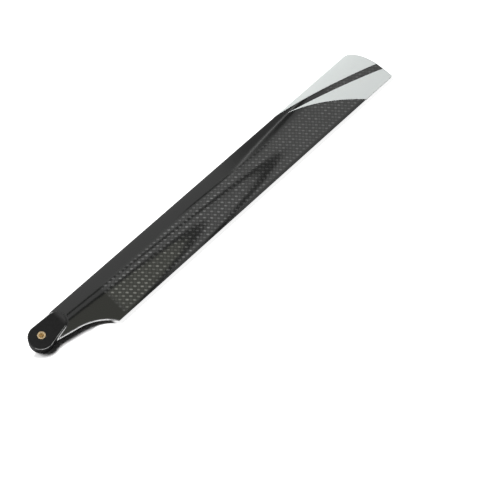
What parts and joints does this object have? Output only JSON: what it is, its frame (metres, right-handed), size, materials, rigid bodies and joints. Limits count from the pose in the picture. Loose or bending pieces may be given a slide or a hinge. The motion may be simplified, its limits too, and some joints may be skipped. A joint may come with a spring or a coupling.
{
  "type": "helicopter rotor blade",
  "caption": "Carbon main rotor blade for a small model helicopter, with a symmetric aerofoil, a bolt boss and brass bush at the root, a swept cut-out and a white painted tip.",
  "frame": {"origin": "centre of the bolt hole, halfway through the boss, on the chord plane", "axes": "+X from the bolt hole to the tip, +Y to the leading edge, +Z along the bolt hole, up from the flat pad"},
  "size_m": [0.1907, 0.0212, 0.004],
  "materials": {
    "carbon": "woven carbon under clear gloss coat",
    "brass": "turned, satin",
    "white_paint": "gloss paint"
  },
  "bodies": {
    "root": {"blade_body": "carbon", "root_bush": "brass", "tip_paint": "white_paint"}
  },
  "joints": []
}
